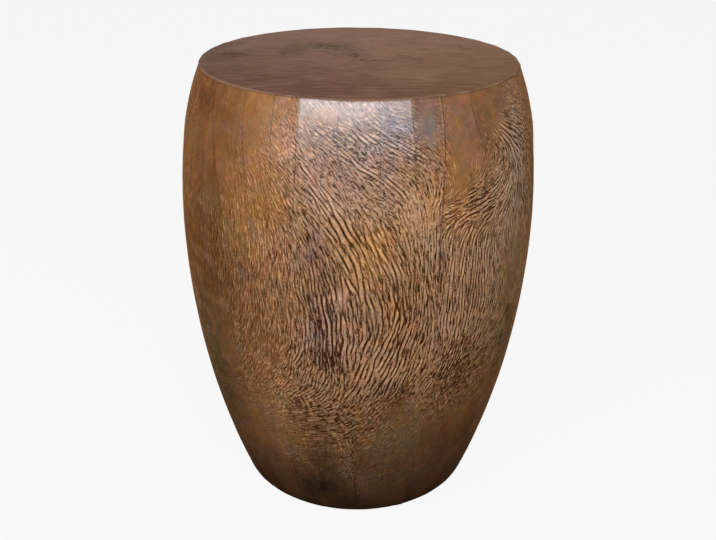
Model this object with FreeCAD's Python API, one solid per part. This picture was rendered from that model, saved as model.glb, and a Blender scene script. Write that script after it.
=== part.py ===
"""Drum side table: a coopered wooden core, clad in thin embossed sheet metal.

Millimetres. +Z is up, and the origin is on the floor, on the table's axis.
Azimuths are in degrees, counted from the front (-Y) and positive towards +X.
"""
import FreeCAD, Part
import math
import os

from FreeCAD import Vector

# ---------------------------------------------------------------- driving dimensions
# overall form, measured to the flats of the cladding
table_height = 508.0            # floor to table top
belly_radius = 200.8            # outside of the sheets at the widest place
belly_height = 331.0            # height of the widest place
lower_arc_radius = 942.0        # curve of the side below the belly
upper_arc_radius = 672.0        # curve of the side just above the belly
upper_arc_rise = 100.0          # height over the belly where the shoulder starts
shoulder_arc_radius = 318.0     # tighter curve from there to the rim

# staves of unequal width: where the flat of each one faces, in degrees back from
# the lapped edge of the sheet that covers it. Each sheet covers one such set.
flat_angles = (4.2, 13.8, 24.8, 38.2, 49.2, 56.0, 70.6, 86.4, 100.6, 115.8)
sheet_names = ("front", "back", "right")
front_lap_azimuth = 25.5

# wooden core
stave_wall = 24.0
back_cuts = 5                   # straight saw cuts that hollow the back of a stave
plate_clearance = 0.3           # glue line between the edge of a plate and the staves
top_panel_thickness = 18.0
base_panel_thickness = 15.0
base_panel_recess = 3.0         # the base panel lies this deep inside the stave ends
former_thickness = 15.0
former_width = 45.0

# sheet cladding
sheet_thickness = 0.6
lap_width = 8.0                 # how far a sheet reaches over the next one
lap_root_width = 3.0            # width over which the raised lap grows out of its sheet
lap_end_clearance = 0.5         # between the lap and the lip of the top sheet
sheet_edge_gap = 0.3            # between the edges of two sheets, under the lap
flange_width = 14.0             # sheet turned under the base
dart_slit_width = 0.4
top_dart_length = 110.0
base_dart_length = 95.0
base_dart_angles = (25.5, 51.0, 78.0, 102.0)  # back from the lap, as the flats are
lip_depth = 2.0                 # turned-down lip of the top sheet
lip_clearance = 0.05            # between the lip and the side sheets
fold_bevel = 0.4                # of the lip's fold

# glides
glide_count = 4
glide_height = 3.0
glide_radius = 7.0
glide_edge_distance = 3.0       # from the outside of the base to a glide
first_glide_azimuth = 45.0

# ---------------------------------------------------------------- derived sizes
core_top = table_height - sheet_thickness
core_base = glide_height + sheet_thickness
base_panel_bottom = core_base + base_panel_recess
lip_end = core_top - lip_depth
sheet_angle = 360.0 / len(sheet_names)
flats_per_sheet = len(flat_angles)
flat_count = flats_per_sheet * len(sheet_names)

UP = Vector(0, 0, 1)
ORIGIN = Vector(0, 0, 0)


# ---------------------------------------------------------------- small helpers
def closed_face(edges):
    return Part.Face(Part.Wire(Part.__sortEdges__(edges)))


def line(start, end):
    return Part.LineSegment(start, end).toShape()


def polyline(points):
    return [line(start, end) for start, end in zip(points, points[1:])]


def moved(shape, offset):
    copy = shape.copy()
    copy.translate(offset)
    return copy


def at_azimuth(shape, azimuth):
    """Turn a shape that was made on the +X side to an azimuth."""
    copy = shape.copy()
    copy.rotate(ORIGIN, UP, azimuth - 90.0)
    return copy


def level_point(azimuth, radius, height):
    angle = math.radians(azimuth)
    return Vector(radius * math.sin(angle), -radius * math.cos(angle), height)


def degrees_along(length, radius):
    return math.degrees(length / radius)


# ---------------------------------------------------------------- the side curve
def side_arcs():
    """Centre and radius of the three tangent arcs of the outside, from the base up."""
    lower_centre = Vector(belly_radius - lower_arc_radius, 0, belly_height)
    upper_centre = Vector(belly_radius - upper_arc_radius, 0, belly_height)
    turn = math.asin(upper_arc_rise / upper_arc_radius)
    step = upper_arc_radius - shoulder_arc_radius
    shoulder_centre = upper_centre + Vector(math.cos(turn), 0, math.sin(turn)) * step
    return (
        (lower_centre, lower_arc_radius),
        (upper_centre, upper_arc_radius),
        (shoulder_centre, shoulder_arc_radius),
    )


def arc_joints(inset):
    """Heights at which one arc passes into the next, on the curve inset by that much."""
    turn = math.asin(upper_arc_rise / upper_arc_radius)
    return belly_height, belly_height + (upper_arc_radius - inset) * math.sin(turn)


def side_arc_at(height, inset):
    return side_arcs()[sum(height > joint for joint in arc_joints(inset))]


def side_point(height, inset):
    """Point of the side curve at a height, inset inside the outside of the cladding."""
    centre, radius = side_arc_at(height, inset)
    reach = math.sqrt((radius - inset) ** 2 - (height - centre.z) ** 2)
    return Vector(centre.x + reach, 0, height)


def side_edges(low, high, inset):
    """The side curve from low to high, as one arc edge for each arc that it crosses."""
    joints = [joint for joint in arc_joints(inset) if low < joint < high]
    heights = [low] + joints + [high]
    edges = []
    for start, end in zip(heights, heights[1:]):
        points = [side_point(height, inset) for height in (start, 0.5 * (start + end), end)]
        edges.append(Part.Arc(*points).toShape())
    return edges


def outward_at(point, inset):
    """Unit vector square to the side curve at one of its points."""
    centre, _ = side_arc_at(point.z, inset)
    return (point - centre).normalize()


# ---------------------------------------------------------------- flats round the barrel
def flat_azimuth(number):
    """Where a flat faces. Flats are numbered back from the front lap, right round."""
    sheet, place = divmod(number, flats_per_sheet)
    return front_lap_azimuth - sheet * sheet_angle - flat_angles[place]


def corner_azimuth(number):
    """The corner of a flat with the one before it, half way between the two."""
    return 0.5 * (flat_azimuth(number) + flat_azimuth(number - 1))


def wedge(start, end):
    """All that lies between two azimuths, seen from the axis."""
    reach = 2 * belly_radius
    corners = [ORIGIN, level_point(start, reach, 0), level_point(end, reach, 0), ORIGIN]
    return closed_face(polyline(corners)).extrude(UP * (2 * table_height))


def flat_piece(section, facing, start, end):
    """A section pushed straight across its flat, and mitred at two azimuths."""
    width = 2 * belly_radius
    bar = moved(section.extrude(Vector(0, width, 0)), Vector(0, -0.5 * width, 0))
    return at_azimuth(bar, facing).common(wedge(start, end))


def polygon(height, radius):
    """Level wire with one side for each flat, all at the same distance from the axis."""
    corners = []
    for number in range(flat_count):
        half_gap = math.radians(0.5 * (flat_azimuth(number - 1) - flat_azimuth(number)))
        corners.append(level_point(corner_azimuth(number), radius / math.cos(half_gap), height))
    return Part.Wire(polyline(corners + corners[:1]))


def faceted_solid(levels):
    """Solid through level polygons, given as (height, radius) from the lowest up."""
    return Part.makeLoft([polygon(height, radius) for height, radius in levels], True, True)


# ---------------------------------------------------------------- wooden core
def back_points():
    """Where one saw cut of the staves' backs meets the next, from the base up."""
    step = (core_top - core_base) / back_cuts
    heights = [core_base + step * cut for cut in range(back_cuts)] + [core_top]
    return [side_point(height, sheet_thickness + stave_wall) for height in heights]


def back_radius(height):
    """Distance of the staves' backs from the axis at a height."""
    points = back_points()
    lower, upper = next(pair for pair in zip(points, points[1:]) if height <= pair[1].z)
    return lower.x + (upper.x - lower.x) * (height - lower.z) / (upper.z - lower.z)


def stave_section():
    base = side_point(core_base, sheet_thickness)
    top = side_point(core_top, sheet_thickness)
    back = polyline([base] + back_points() + [top])
    return closed_face(side_edges(core_base, core_top, sheet_thickness) + back)


def core_stave(number):
    """One stave, its edges bevelled to meet its neighbours in planes through the axis."""
    corners = corner_azimuth(number + 1), corner_azimuth(number)
    return flat_piece(stave_section(), flat_azimuth(number), *corners)


def core_plate(low, thickness):
    """Many-sided plywood plate, its edges bevelled to the backs of the staves."""
    heights = (low, low + thickness)
    return faceted_solid([(height, back_radius(height) - plate_clearance) for height in heights])


def middle_former():
    low = belly_height - 0.5 * former_thickness
    hole_radius = back_radius(low) - former_width
    hole = faceted_solid([(low, hole_radius), (low + former_thickness, hole_radius)])
    return core_plate(low, former_thickness).cut(hole)


# ---------------------------------------------------------------- sheet cladding
def side_sheet_section():
    """Section of a side sheet: up the side, and folded under the base."""
    corner = side_point(core_base, sheet_thickness)
    fold_start = corner + outward_at(corner, sheet_thickness) * sheet_thickness
    flange = polyline([
        fold_start,
        corner - UP * sheet_thickness,
        Vector(corner.x - flange_width, 0, glide_height),
        Vector(corner.x - flange_width, 0, core_base),
        corner,
    ])
    edges = side_edges(core_base, core_top, sheet_thickness)
    edges += side_edges(fold_start.z, core_top, 0)
    edges += [line(side_point(core_top, sheet_thickness), side_point(core_top, 0))]
    return closed_face(edges + flange)


def lap_section():
    """Section of the raised lap, which lies on the outside of the next sheet."""
    low = core_base
    high = lip_end - lap_end_clearance
    edges = side_edges(low, high, 0) + side_edges(low, high, -sheet_thickness)
    edges += [line(side_point(z, 0), side_point(z, -sheet_thickness)) for z in (low, high)]
    return closed_face(edges)


def lap_strip(first):
    """The lap at the edge of a sheet whose first flat is given."""
    edge = corner_azimuth(first)
    root = edge - degrees_along(lap_root_width, belly_radius)
    end = edge + degrees_along(lap_width, belly_radius)
    return [
        flat_piece(lap_section(), flat_azimuth(first), root, edge),
        flat_piece(lap_section(), flat_azimuth(first - 1), edge, end),
    ]


def slit(azimuth, low, high):
    box = Part.makeBox(belly_radius, dart_slit_width, high - low)
    box.translate(Vector(0.5 * flange_width, -0.5 * dart_slit_width, low))
    return at_azimuth(box, azimuth)


def dart_slits(first):
    """Closed darts: at the corners of the flats above, evenly spread below."""
    slits = []
    for number in range(first + 1, first + flats_per_sheet):
        slits.append(slit(corner_azimuth(number), core_top - top_dart_length, table_height))
    for angle in base_dart_angles:
        slits.append(slit(corner_azimuth(first) - angle, 0, core_base + base_dart_length))
    return slits


def side_sheet(sheet):
    """One sheet, folded over its flats, with its darts, its flange and its lap."""
    first = sheet * flats_per_sheet
    last = first + flats_per_sheet - 1
    edge_gap = degrees_along(0.5 * sheet_edge_gap, belly_radius)
    pieces = lap_strip(first)
    for number in range(first, last + 1):
        start = corner_azimuth(number + 1) + edge_gap * (number == last)
        end = corner_azimuth(number) - edge_gap * (number == first)
        pieces.append(flat_piece(side_sheet_section(), flat_azimuth(number), start, end))
    sheet_body = pieces[0].multiFuse(pieces[1:]).removeSplitter()
    return sheet_body.cut(Part.makeCompound(dart_slits(first)))


def top_sheet():
    """Round sheet with one small flat for each stave, its lip turned down over them."""
    inner = -lip_clearance
    outer = inner - sheet_thickness
    shoulder = table_height - fold_bevel
    skin = faceted_solid([
        (lip_end, side_point(lip_end, outer).x),
        (shoulder, side_point(shoulder, outer).x),
        (table_height, side_point(shoulder, outer).x - fold_bevel),
    ])
    inside = faceted_solid([(z, side_point(z, inner).x) for z in (lip_end, core_top)])
    return skin.cut(inside)


# ---------------------------------------------------------------- glides
def glide(number):
    radius = side_point(core_base, sheet_thickness).x - glide_edge_distance - glide_radius
    body = Part.makeCylinder(glide_radius, glide_height, Vector(radius, 0, 0))
    return at_azimuth(body, first_glide_azimuth + number * 360.0 / glide_count)


# ---------------------------------------------------------------- the pieces
def make_nodes():
    nodes = {}
    for number in range(flat_count):
        nodes[f"core_stave_{number + 1:02d}"] = core_stave(number)
    nodes["top_panel"] = core_plate(core_top - top_panel_thickness, top_panel_thickness)
    nodes["middle_former"] = middle_former()
    nodes["base_panel"] = core_plate(base_panel_bottom, base_panel_thickness)
    for sheet, name in enumerate(sheet_names):
        nodes[f"side_sheet_{name}"] = side_sheet(sheet)
    nodes["top_sheet"] = top_sheet()
    for number in range(glide_count):
        nodes[f"glide_{number + 1}"] = glide(number)
    return nodes


def main():
    os.makedirs("parts", exist_ok=True)
    for name, shape in make_nodes().items():
        if not shape.isValid() or len(shape.Solids) != 1:
            raise ValueError(f"{name} is not one valid solid")
        shape.exportStep(f"parts/{name}.step")
        print(f"{name}: {shape.Volume / 1000:.1f} cm3, {len(shape.Faces)} faces")


main()
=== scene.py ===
import math

import bpy
import numpy as np
from mathutils import Matrix, Vector


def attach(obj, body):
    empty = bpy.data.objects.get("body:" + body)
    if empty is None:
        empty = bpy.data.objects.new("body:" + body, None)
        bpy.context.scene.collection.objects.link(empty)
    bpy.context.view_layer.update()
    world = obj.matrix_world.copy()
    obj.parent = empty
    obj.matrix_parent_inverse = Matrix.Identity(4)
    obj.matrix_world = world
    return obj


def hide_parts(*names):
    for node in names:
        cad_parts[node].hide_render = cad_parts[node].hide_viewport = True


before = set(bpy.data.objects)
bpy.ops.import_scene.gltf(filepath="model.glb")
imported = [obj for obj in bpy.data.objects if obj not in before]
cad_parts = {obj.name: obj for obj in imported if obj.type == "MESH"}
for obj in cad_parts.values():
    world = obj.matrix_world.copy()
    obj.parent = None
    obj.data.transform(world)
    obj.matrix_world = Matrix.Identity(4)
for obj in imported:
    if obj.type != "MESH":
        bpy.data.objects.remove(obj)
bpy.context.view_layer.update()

# The drum side table's looks. Lengths are in millimetres until a mesh is written.
# Azimuths are in degrees from the front (-Y), positive towards +X.
# "Back" angles count the other way, from the lapped edge of a side sheet.
# The two places given to smooth() are where a thing begins and where it is full.
MM = 0.001

# ------------------------------------------------------------------ sizes, as in the solids
TABLE_HEIGHT = 508.0
BELLY_RADIUS = 200.8
BELLY_HEIGHT = 331.0
LOWER_ARC = 942.0           # radius of the barrel's outline below the belly, above it for
UPPER_ARC = 672.0           # this rise, and over the shoulder
UPPER_RISE = 100.0
SHOULDER_ARC = 318.0
SHEET = 0.6
CORE_BASE = 3.6
CORE_TOP = TABLE_HEIGHT - SHEET
STAVE_WALL = 24.0
BACK_CUTS = 5
FLANGE_WIDTH = 14.0
GLIDE_RADIUS = 7.0
GLIDE_HEIGHT = 3.0
GLIDE_INSET = 3.0 + GLIDE_RADIUS
FRONT_LAP = 25.5            # azimuth of the front sheet's lapped edge
SHEET_ANGLE = 120.0
# back angles of the middles of the flats, of the darts at the foot, and of the corners
FLATS = np.array((4.2, 13.8, 24.8, 38.2, 49.2, 56.0, 70.6, 86.4, 100.6, 115.8))
BASE_DARTS = np.array((25.5, 51.0, 78.0, 102.0))
CORNERS = np.append(0.5 * (FLATS + np.roll(FLATS, 1) - SHEET_ANGLE * (np.arange(10) == 0)), 120.0)

# ------------------------------------------------------------------ what the looks add
ROUND_OVER_FLAT = 0.22      # the rounded belly, over the distance to the flats
LAP_RAISE = 0.65
LAP_EDGE = -0.6             # back angle of the lap's free edge
SHEET_END = 120.7           # back angle of the edge that lies under the next lap
LAP_DRIFT = 2.6             # the lap leans back by this much from the rim to the belly
RIDGE_DEPTH = 0.55
LIP_BOTTOM = CORE_TOP - 1.1
DART_DRIFT = 0.14           # lean of the farther darts to the lap, for each degree past
DART_DRIFT_FROM = 43.0      # this back angle
DART_DRIFT_MOST = 5.0       # and the most that they lean, in degrees
FOLD_AT_RIM = 74.9          # back angle of the long fold of a side sheet at the rim
FOLD_LEAN = 5.6             # and how much nearer to the lap it lies lower down
FOLD_STARTS = (462.0, 430.0)              # heights where it fades in and out
FOLD_ENDS = (330.0, 400.0)
RIM_DEGREE = 3.3            # length of one degree near the rim, and near the foot
FOOT_DEGREE = 2.7
FOOT_FLATNESS = 0.22        # of the flats at the foot, where 1 is flat and 0 is round
BRIGHT_FACETS = (-18.4, 16.6)             # the two darts that bound them
LEFT_RIM = ((-36.5, -39.0), (-110.0, -80.0))    # where the lip stands off on the left
RIM_EDGE = (171.4, 172.4)   # radius of the top's edge, along which a highlight is painted
LAP_PIN_HEIGHT = 500.5
LAP_PIN_TILT = 0.38         # how far the lap's pins point up, in radians
ARC = math.radians(1) * BELLY_RADIUS      # length of one degree round the belly

SHOULDER_TURN = math.asin(UPPER_RISE / UPPER_ARC)
SHOULDER_X = BELLY_RADIUS - UPPER_ARC + math.cos(SHOULDER_TURN) * (UPPER_ARC - SHOULDER_ARC)
SHOULDER_Z = BELLY_HEIGHT + math.sin(SHOULDER_TURN) * (UPPER_ARC - SHOULDER_ARC)


# ------------------------------------------------------------------ small maths
def smooth(low, high, value):
    """0 below low, 1 above high, eased between. low may be the greater of the two."""
    t = np.clip((value - low) / (high - low), 0.0, 1.0)
    return t * t * (3.0 - 2.0 * t)


def blob(value, centre, spread):
    return np.exp(-((value - centre) / spread) ** 2)


def turned(azimuth):
    """The same azimuth between -180 and 180."""
    return np.mod(azimuth + 180.0, 360.0) - 180.0


def around(azimuth, radius, height):
    """Points from azimuths, distances from the axis and heights."""
    t = np.radians(azimuth)
    return np.stack(np.broadcast_arrays(radius * np.sin(t), -radius * np.cos(t), height), -1)


def over(colour, share, paint):
    """A paint laid over a colour, by its share at each point."""
    share = np.clip(share, 0.0, 1.0)[..., None]
    return np.asarray(colour) * (1 - share) + share * np.asarray(paint)


def lattice(ix, iy, seed):
    """A repeatable angle for each point of a lattice."""
    h = (ix * 374761393 + iy * 668265263 + seed * 974634777) & 0xFFFFFFFF
    h = ((h ^ (h >> 13)) * 1274126177) & 0xFFFFFFFF
    h = ((h ^ (h >> 16)) * 2246822519) & 0xFFFFFFFF
    return (h ^ (h >> 15)) * (2 * math.pi / 2 ** 32)


def noise(x, y, seed):
    """Gradient noise, from about -1 to 1."""
    ix = np.floor(x).astype(np.int64)
    iy = np.floor(y).astype(np.int64)
    fx = x - ix
    fy = y - iy
    u = fx * fx * fx * (fx * (fx * 6 - 15) + 10)
    v = fy * fy * fy * (fy * (fy * 6 - 15) + 10)
    total = 0.0
    for dx, wx in ((0, 1 - u), (1, u)):
        for dy, wy in ((0, 1 - v), (1, v)):
            angle = lattice(ix + dx, iy + dy, seed)
            total = total + wx * wy * (np.cos(angle) * (fx - dx) + np.sin(angle) * (fy - dy))
    return 1.4 * total


def spots(places, azimuth, z):
    """Strongest of some soft spots at each point. A spot: azimuth, its spread, height, its
    spread, share."""
    most = np.zeros_like(azimuth)
    for centre, spread, height, reach, share in places:
        near = blob(turned(azimuth - centre), 0.0, spread) * blob(z, height, reach)
        most = np.maximum(most, share * near)
    return most


# ------------------------------------------------------------------ the barrel's form
def apothem(z):
    """Distance from the axis to the flats of the cladding at a height."""
    z = np.asarray(z, float)
    lower = BELLY_RADIUS - LOWER_ARC + np.sqrt(LOWER_ARC ** 2 - (z - BELLY_HEIGHT) ** 2)
    upper = BELLY_RADIUS - UPPER_ARC + np.sqrt(UPPER_ARC ** 2 - (z - BELLY_HEIGHT) ** 2)
    rise = np.maximum(SHOULDER_ARC ** 2 - (z - SHOULDER_Z) ** 2, 0.0)
    shoulder = SHOULDER_X + np.sqrt(rise)
    rounded = np.where(z < BELLY_HEIGHT, lower, upper)
    return np.where(z > BELLY_HEIGHT + UPPER_RISE, shoulder, rounded)


def off_flat(back):
    """Angle from the nearest flat's middle, for a back angle of any size."""
    place = np.mod(back, SHEET_ANGLE)
    flat = np.clip(np.searchsorted(CORNERS, place, side="right") - 1, 0, len(FLATS) - 1)
    return np.radians(place - FLATS[flat])


def barrel_radius(azimuth, z):
    """Outside of the side sheets: flat between the darts at the rim, faintly so at the
    foot, and round between. On the left the flats of the rim are hammered rounder."""
    back = FRONT_LAP - azimuth
    uneven = 14.0 * np.sin(np.radians(7.3 * back)) + 8.0 * np.sin(np.radians(17.0 * back))
    rim = smooth(388.0 + uneven, 432.0 + uneven, z)
    rim = rim * (1.0 - 0.6 * blob(turned(azimuth), -84.0, 20.0))
    flatness = np.maximum(rim, FOOT_FLATNESS * smooth(92.0, 40.0, z))
    flats = apothem(z)
    return (1 - flatness) * (flats + ROUND_OVER_FLAT) + flatness * flats / np.cos(off_flat(back))


def lap_lean(z):
    """How far back the laps lie from the corner of the flats at a height."""
    return LAP_DRIFT * smooth(500.0, 360.0, z)


def left_rim(bearing):
    """1 on the left, where the top's lip stands off the side a little, and else 0."""
    return smooth(*LEFT_RIM[0], bearing) * smooth(*LEFT_RIM[1], bearing)


# ------------------------------------------------------------------ the embossed figure
# The grain's run: azimuth, height, and lean in degrees from upright, positive
# where it leans over to the left. One list for each side sheet.
FRONT_GRAIN = (
    (-60, 470, 5), (-44, 470, 30), (-34, 456, 40), (-27, 473, 40), (-18, 478, 46), (-8, 478, 52),
    (4, 482, 50), (14, 468, 80), (20, 462, 56), (-4, 459, 56), (0, 447, 47), (5, 451, 40), (9, 438, 56),
    (13, 427, 46), (-19, 432, 48), (-14, 440, 43), (-10, 431, 48), (-7, 420, 38), (-5, 410, 42),
    (-12, 411, 32), (-8, 396, 33), (22, 420, -60), (19, 440, 30), (16, 408, 30), (-55, 425, 20),
    (-42, 396, 4), (-30, 410, 20), (-21, 400, 16), (-32, 370, 2), (-21, 355, 4), (-13, 385, 20),
    (-6, 379, 16), (0, 377, 27), (6, 364, 28), (12, 388, 14), (18, 378, 4), (-12, 358, 19), (-5, 357, 12),
    (3, 354, 25), (9, 340, 29), (17, 352, 5), (-30, 322, -4), (-20, 325, 5), (-14, 312, 30),
    (-9, 322, 14), (-4, 309, 9), (2, 320, 22), (6, 303, 17), (12, 296, 3), (20, 318, 4), (-45, 310, 0),
    (-22, 292, 6), (-10, 290, 8), (-6, 282, 2), (-2, 284, 12), (6, 281, -9), (12, 278, -24), (19, 287, 5),
    (-39, 253, -20), (-30, 264, -14), (-20, 264, -14), (-13, 262, 4), (-1, 260, 20), (5, 265, -29),
    (9, 265, -42), (6, 250, -38), (14, 238, 14), (21, 254, 0), (-17, 246, -27), (-21, 221, -24),
    (-31, 225, -28), (-10, 235, 0), (-4, 232, 8), (3, 232, -35), (10, 242, -30), (7, 221, -26),
    (10, 217, -14), (16, 222, -12), (23, 222, -28), (-32, 172, -44), (-22, 190, -52), (-11, 182, -62),
    (-20, 150, -80), (-12, 150, -84), (-4, 148, -70), (-3, 204, -28), (3, 188, -40), (9, 194, -30),
    (16, 194, -40), (-32, 130, -70), (6, 155, -45), (20, 155, -45), (0, 100, -20), (-15, 105, -60),
    (20, 110, -30), (-85, 440, 20), (-85, 330, 5), (-85, 230, -30), (-85, 130, -50),
)
RIGHT_GRAIN = (
    (28, 470, 10), (36, 470, 0), (44, 474, 50), (51, 472, 72), (56, 456, 68), (62, 462, 60),
    (60, 440, 50), (70, 440, 20), (30, 430, 20), (49, 430, -45), (43, 415, -70), (29, 392, -110),
    (33, 392, -110), (38, 400, -95), (46, 400, -80), (41, 390, -95), (28, 366, 5), (40, 364, 4),
    (52, 410, -30), (58, 412, 20), (56, 388, 4), (66, 390, 6), (28, 372, 5), (34, 358, 6), (48, 371, 9),
    (56, 350, 4), (28, 327, 2), (37, 318, 6), (48, 310, 6), (68, 340, 4), (29, 290, 2), (38, 280, -8),
    (54, 290, 6), (68, 290, 0), (29, 261, 0), (38, 254, -26), (50, 245, -40), (30, 222, -30),
    (43, 212, -52), (56, 190, -50), (31, 172, -50), (50, 150, -50), (90, 440, -30), (90, 350, -12),
    (90, 270, 0), (90, 190, 30), (90, 120, 40), (125, 440, 25), (125, 350, 12), (125, 270, -4),
    (125, 190, -20), (125, 120, -35),
)
BACK_HEIGHTS = (460, 380, 300, 220, 130)
BACK_LEANS = {
    -100: (30, 14, 2, -22, -40),
    -135: (-35, -18, -4, 16, 40),
    -170: (48, 30, 8, -14, -55),
    -205: (20, 6, -10, -30, -50),
}
BACK_GRAIN = [
    (azimuth, height, lean)
    for azimuth, leans in BACK_LEANS.items()
    for height, lean in zip(BACK_HEIGHTS, leans)
]
# name, grain, azimuth of the heart of the figure
SHEETS = (("front", FRONT_GRAIN, 1.0), ("back", BACK_GRAIN, -152.0), ("right", RIGHT_GRAIN, 98.0))

# Spots where the figure breaks up into short dashes and pebbles.
WILD = (
    (0, 14, 462, 26, 0.7), (8, 12, 410, 22, 0.7), (32, 8, 392, 16, 0.9), (42, 8, 404, 18, 0.7),
    (-26, 10, 452, 20, 0.5), (12, 14, 175, 24, 0.8), (-30, 12, 240, 30, 0.4), (-24, 8, 400, 20, 0.5),
    (40, 16, 210, 40, 0.5), (120, 20, 300, 50, 0.6), (-110, 16, 400, 40, 0.6), (175, 20, 230, 50, 0.6),
)
# Spots that are hammered smooth.
HAMMERED = (
    (33, 11, 470, 48, 0.95), (30, 5, 425, 28, 0.85), (40, 6, 438, 20, 0.7), (-52, 20, 440, 50, 0.85),
    (-34, 12, 470, 42, 0.75), (-27, 8, 420, 30, 0.4), (-50, 12, 236, 62, 0.95), (-30, 11, 236, 60, 0.45),
    (-60, 9, 340, 60, 0.5), (44, 4, 478, 28, 0.8), (48, 6, 486, 24, 0.8), (16, 9, 165, 26, 0.6),
    (-55, 6, 352, 24, 0.3), (-37, 6, 362, 14, 0.35), (24, 4, 452, 16, 0.5), (-4, 5, 190, 14, 0.35),
    (5, 4, 392, 14, 0.35), (5, 6, 364, 30, 0.45), (-8, 8, 492, 9, 0.5), (5, 2.2, 296, 15, 0.8),
    (21.5, 4.5, 486, 32, 0.85), (32, 13, 120, 36, 0.6), (56, 8, 315, 62, 0.7), (120, 22, 430, 60, 0.8),
    (-120, 14, 450, 50, 0.8), (165, 30, 180, 70, 0.5),
)
# Spots where the figure lies low, so that more of it is dark, and where it lies high.
SUNKEN = (
    (-9, 4, 300, 40, 0.85), (-10, 6, 162, 12, 0.3), (9, 6, 164, 12, 0.3), (13, 5, 196, 14, 0.4),
    (13, 5, 300, 20, 0.4), (13, 4, 250, 16, 0.45), (18, 4, 268, 12, 0.35), (-8, 4.5, 244, 17, 1.2),
    (-11, 3, 358, 16, 0.3), (9, 4, 312, 16, 0.35), (36, 10, 212, 45, 0.45), (21, 4, 335, 30, 0.15),
    (9, 4, 206, 12, 0.45), (35, 5, 296, 14, 0.35), (4, 6, 474, 9, 0.45), (-4, 4, 345, 14, 0.25),
    (36, 5, 314, 12, 0.4), (10, 3, 474, 5, 0.4), (-4, 3, 453, 4, 0.3), (36, 6, 400, 18, 0.3),
    (-44, 6, 320, 30, 0.3), (92, 6, 300, 40, 0.5), (-150, 6, 300, 40, 0.5), (-165, 5, 370, 20, 0.4),
)
RAISED = (
    (3, 5, 440, 20, 0.5), (22, 5, 370, 24, 0.75), (-10, 6, 370, 26, 0.5), (6, 4, 458, 12, 0.4),
    (6, 5, 402, 14, 0.4), (7, 4, 375, 14, 0.3), (26, 6, 252, 18, 0.4), (-4, 4, 316, 13, 0.8),
    (13, 4, 219, 9, 0.4), (-3, 3.5, 100, 40, 0.4), (-24, 6, 432, 20, 0.35), (-16, 5, 460, 16, 0.3),
    (48, 9, 380, 50, 0.25), (36, 8, 395, 22, 0.25), (-10, 7, 447, 30, 0.4), (10, 6, 436, 40, 0.55),
    (18, 6, 398, 38, 0.95), (-22, 6, 448, 24, 0.4), (6, 5, 240, 22, 0.35), (-4, 11, 422, 26, 0.45),
    (3, 6, 345, 24, 0.4), (-10, 6, 456, 13, 0.6), (-19, 5, 434, 14, 0.4), (32, 10, 320, 60, 0.35),
    (20, 6, 440, 20, 0.3), (105, 8, 330, 40, 0.3), (-140, 8, 260, 40, 0.3),
)
# Spots where the figure is coarse.
COARSE = ((38, 11, 396, 20, 0.7), (56, 9, 446, 34, 1.3), (36, 14, 250, 60, 0.7), (7, 7, 235, 28, 0.4))
# Spots where the figure is embossed deeper than the rest of its surroundings.
BOLD = (
    (57, 9, 435, 50, 2.6), (58, 10, 400, 60, 1.5), (40, 9, 400, 24, 1.8), (35, 12, 290, 90, 1.7),
    (-6, 9, 460, 26, 0.2), (-14, 9, 152, 24, 0.7), (-21, 7, 100, 30, 1.0), (0, 8, 265, 44, 0.35),
    (22, 5, 358, 26, 0.7), (-12, 5, 350, 34, 0.6), (7, 7, 232, 34, 0.6), (0, 6, 300, 24, 0.4),
    (33, 10, 225, 50, 1.4), (-13, 4, 425, 22, 0.3), (-40, 10, 300, 60, 0.25), (80, 14, 400, 70, 0.7),
    (130, 14, 250, 60, 0.8), (-110, 14, 420, 60, 0.8), (-176, 14, 420, 60, 0.6),
)
# Long strands that stand out from the figure: points along each, as azimuth and height.
STRANDS = (
    ((-16, 446), (-8, 420), (-4, 392), (-2, 370), (2, 326)),
    ((-13, 426), (-6, 392), (-3, 355), (-2, 326)),
    ((-4, 396), (2, 384), (6, 364), (11, 344)),
    ((-12, 479), (-6, 466), (-2, 452), (3, 442), (8, 436), (14, 419)),
    ((5, 486), (8, 477), (12, 468), (19, 456)),
    ((-2, 477), (6, 473), (11, 464), (18, 456)),
    ((-12, 346), (-10, 316), (-9, 286), (-7, 266)),
    ((-7, 333), (-6, 304), (-5, 284), (-3, 254)),
    ((0, 334), (3, 312), (6, 300), (6, 277), (3, 267)),
    ((10, 318), (12, 298), (13, 282), (9, 263), (3, 240), (1, 226)),
    ((16, 272), (13, 254), (11, 244), (6, 234), (4, 220)),
    ((13, 246), (12, 232), (10, 219), (9, 204)),
    ((-14, 304), (-15, 262), (-19, 232)),
    ((26, 396), (28, 330), (27, 268)), ((31, 386), (32, 320), (31, 258)),
    ((35, 378), (37, 310), (35, 262)), ((40, 368), (41, 316), (40, 280)),
    ((48, 472), (54, 460), (59, 440), (60, 410)),
    ((50, 462), (55, 446), (57, 425)), ((29, 386), (35, 394), (42, 406), (49, 424)),
    ((90, 430), (96, 360), (95, 300)), ((104, 400), (102, 330), (98, 260)),
    ((110, 330), (104, 270), (96, 230)), ((-150, 440), (-146, 370), (-150, 300)),
    ((-158, 400), (-156, 330), (-152, 260)), ((-140, 360), (-144, 300), (-142, 240)),
)
STRAND_REACH = 4.5
CELL = 1.0                       # of the grid that the figure is grown on
GRID_COLUMNS = 448
GRID_ROWS = 512
GRID_FOOT = -2.0                 # height of its lowest row
STROKE_REACH = 19.0
PITCHES = (2.8, 4.0, 5.8)        # distances between ridges that the figure is grown with
TURN_STEP = math.radians(10.0)
STEEPEST = math.radians(85.0)
PASSES = 3


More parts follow.
